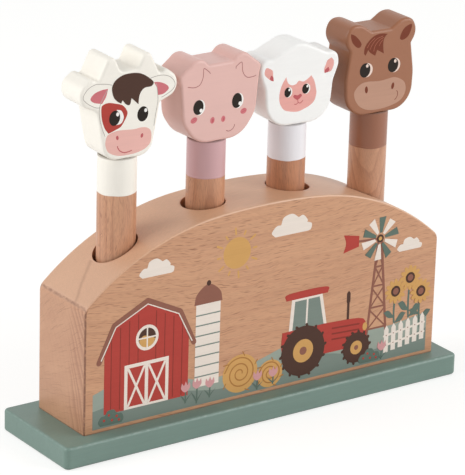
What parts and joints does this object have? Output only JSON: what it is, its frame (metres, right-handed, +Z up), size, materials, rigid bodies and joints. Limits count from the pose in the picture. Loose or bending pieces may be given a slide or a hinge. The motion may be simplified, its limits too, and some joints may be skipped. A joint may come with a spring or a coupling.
{
  "type": "pop up animal toy",
  "caption": "Wooden toddler toy: an arched block on a board guides round pegs with animal heads, which stand on springs, press down, pop up, turn and lift out.",
  "frame": {"origin": "middle of the base board's underside, on the surface that it stands on", "axes": "+X along the row of pegs, from the cow to the horse; +Y to the back, away from the printed front; +Z up"},
  "size_m": [0.248, 0.062, 0.2027],
  "materials": {
    "beech": "fine sanded, thin clear coat",
    "board_paint": "painted, satin",
    "steel": "bright zinc",
    "cow_paint": "painted, satin, with a printed face",
    "pig_paint": "painted, satin, with a printed face",
    "sheep_paint": "painted, satin, with a printed face",
    "horse_paint": "painted, satin, with a printed face"
  },
  "bodies": {
    "base": {"base_board": "board_paint", "body_block": "beech", "base_screws": "steel"},
    "cow_bounce": {"cow_spring": "steel"},
    "cow_core": {"cow_pin": "beech"},
    "cow_figure": {"cow_peg": "beech", "cow_head": "cow_paint"},
    "pig_bounce": {"pig_spring": "steel"},
    "pig_core": {"pig_pin": "beech"},
    "pig_figure": {"pig_peg": "beech", "pig_head": "pig_paint"},
    "sheep_bounce": {"sheep_spring": "steel"},
    "sheep_core": {"sheep_pin": "beech"},
    "sheep_figure": {"sheep_peg": "beech", "sheep_head": "sheep_paint"},
    "horse_bounce": {"horse_spring": "steel"},
    "horse_core": {"horse_pin": "beech"},
    "horse_figure": {"horse_peg": "beech", "horse_head": "horse_paint"}
  },
  "joints": [
    {"name": "cow_press", "type": "slide", "parent": "base", "child": "cow_bounce", "axis": [0, 0, 1], "range_m": [-0.032, 0], "stiffness_N_per_m": 250, "springref_m": 0.0025, "deforming": ["cow_spring"]},
    {"name": "cow_lift", "type": "slide", "parent": "cow_bounce", "child": "cow_core", "axis": [0, 0, 1], "range_m": [0, 0.065]},
    {"name": "cow_turn", "type": "hinge", "parent": "cow_core", "child": "cow_figure", "pos_m": [-0.076, 0.001, 0.15], "axis": [0, 0, 1], "range_deg": [-1.6, 5.6]},
    {"name": "pig_press", "type": "slide", "parent": "base", "child": "pig_bounce", "axis": [0, 0, 1], "range_m": [-0.032, 0], "stiffness_N_per_m": 250, "springref_m": 0.0025, "deforming": ["pig_spring"]},
    {"name": "pig_lift", "type": "slide", "parent": "pig_bounce", "child": "pig_core", "axis": [0, 0, 1], "range_m": [0, 0.065]},
    {"name": "pig_turn", "type": "hinge", "parent": "pig_core", "child": "pig_figure", "pos_m": [-0.0223, 0.001, 0.15], "axis": [0, 0, 1], "range_deg": [-4, 1.7]},
    {"name": "sheep_press", "type": "slide", "parent": "base", "child": "sheep_bounce", "axis": [0, 0, 1], "range_m": [-0.032, 0], "stiffness_N_per_m": 250, "springref_m": 0.0025, "deforming": ["sheep_spring"]},
    {"name": "sheep_lift", "type": "slide", "parent": "sheep_bounce", "child": "sheep_core", "axis": [0, 0, 1], "range_m": [0, 0.065]},
    {"name": "sheep_turn", "type": "hinge", "parent": "sheep_core", "child": "sheep_figure", "pos_m": [0.0283, 0.001, 0.15], "axis": [0, 0, 1], "range_deg": [-0.2, 8]},
    {"name": "horse_press", "type": "slide", "parent": "base", "child": "horse_bounce", "axis": [0, 0, 1], "range_m": [-0.032, 0], "stiffness_N_per_m": 250, "springref_m": 0.0025, "deforming": ["horse_spring"]},
    {"name": "horse_lift", "type": "slide", "parent": "horse_bounce", "child": "horse_core", "axis": [0, 0, 1], "range_m": [0, 0.065]},
    {"name": "horse_turn", "type": "hinge", "parent": "horse_core", "child": "horse_figure", "pos_m": [0.0813, 0.001, 0.15], "axis": [0, 0, 1], "continuous": true}
  ]
}
